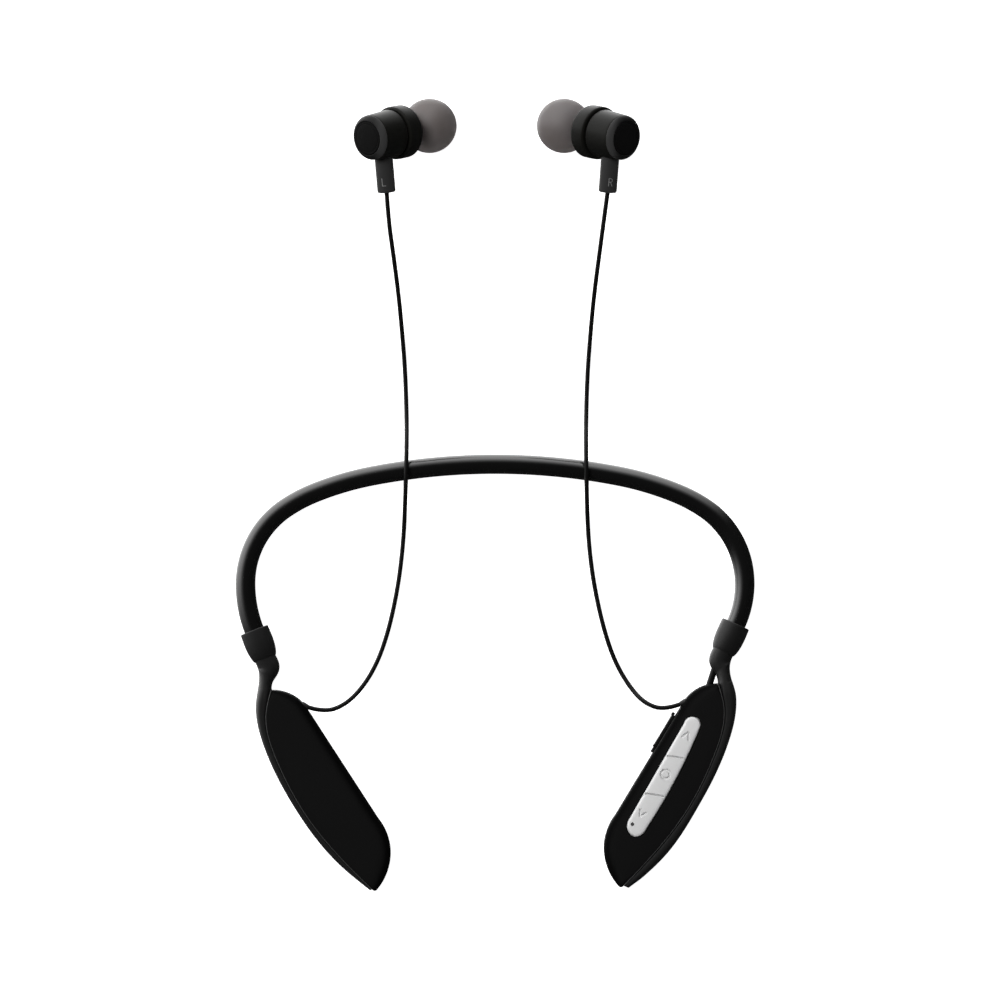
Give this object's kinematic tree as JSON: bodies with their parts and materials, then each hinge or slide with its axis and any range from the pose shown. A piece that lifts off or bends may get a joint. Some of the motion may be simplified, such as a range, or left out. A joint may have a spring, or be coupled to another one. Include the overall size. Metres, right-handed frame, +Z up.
{
  "type": "neckband earphones",
  "caption": "Wireless neckband earphones: round silicone band, leaf-shaped pods with silver keys, and earbuds on thin cords, lying flat.",
  "frame": {"origin": "on the table, at the centre of the outline of the object without its cords", "axes": "+Z up from the table, +Y from the pods towards the earbuds, +X towards the pod with the keys"},
  "size_m": [0.1378, 0.2098, 0.028],
  "materials": {
    "silicone": "satin black silicone",
    "shell": "matte black moulded plastic",
    "key_silver": "satin silver paint",
    "bud_shell": "satin black moulded plastic",
    "bud_cap": "satin black end cap",
    "ear_tip": "translucent grey silicone",
    "cord_jacket": "matte black jacket",
    "spring_wire": "drawn spring wire",
    "cell_foil": "foil pouch",
    "board": "solder mask",
    "tinned_metal": "tinned steel",
    "driver": "stamped can",
    "mesh": "woven wire"
  },
  "bodies": {
    "headset": {"neckband_sleeve": "silicone", "left_collar": "silicone", "right_collar": "silicone", "left_strap": "silicone", "right_strap": "silicone", "left_cord_grommet": "silicone", "right_cord_grommet": "silicone", "port_cover_tether": "silicone", "left_bud_stem": "silicone", "right_bud_stem": "silicone", "left_top_shell": "shell", "left_bottom_shell": "shell", "right_top_shell": "shell", "right_bottom_shell": "shell", "left_bud_housing": "bud_shell", "right_bud_housing": "bud_shell", "left_bud_front": "bud_shell", "right_bud_front": "bud_shell", "left_bud_cap": "bud_cap", "right_bud_cap": "bud_cap", "left_ear_tip": "ear_tip", "right_ear_tip": "ear_tip", "left_earbud_cord": "cord_jacket", "right_earbud_cord": "cord_jacket", "link_lead": "cord_jacket", "memory_wire": "spring_wire", "battery_cell": "cell_foil", "main_board": "board", "battery_board": "board", "radio_module": "tinned_metal", "charging_socket": "tinned_metal", "key_switches": "tinned_metal", "microphone": "tinned_metal", "left_driver": "driver", "right_driver": "driver", "left_nozzle_mesh": "mesh", "right_nozzle_mesh": "mesh"},
    "volume_up": {"key_volume_up": "key_silver"},
    "play": {"key_play": "key_silver"},
    "volume_down": {"key_volume_down": "key_silver"},
    "cover": {"port_cover": "silicone"}
  },
  "joints": [
    {"name": "volume_up_press", "type": "slide", "parent": "headset", "child": "volume_up", "axis": [0, 0, -1], "range_m": [0, 0.0003], "stiffness_N_per_m": 3000},
    {"name": "play_press", "type": "slide", "parent": "headset", "child": "play", "axis": [0, 0, -1], "range_m": [0, 0.0003], "stiffness_N_per_m": 3000},
    {"name": "volume_down_press", "type": "slide", "parent": "headset", "child": "volume_down", "axis": [0, 0, -1], "range_m": [0, 0.0003], "stiffness_N_per_m": 3000},
    {"name": "port_cover_hinge", "type": "hinge", "parent": "headset", "child": "cover", "pos_m": [0.04201, -0.06643, 0.0026], "axis": [0, 0, 1], "range_deg": [0, 110]}
  ]
}
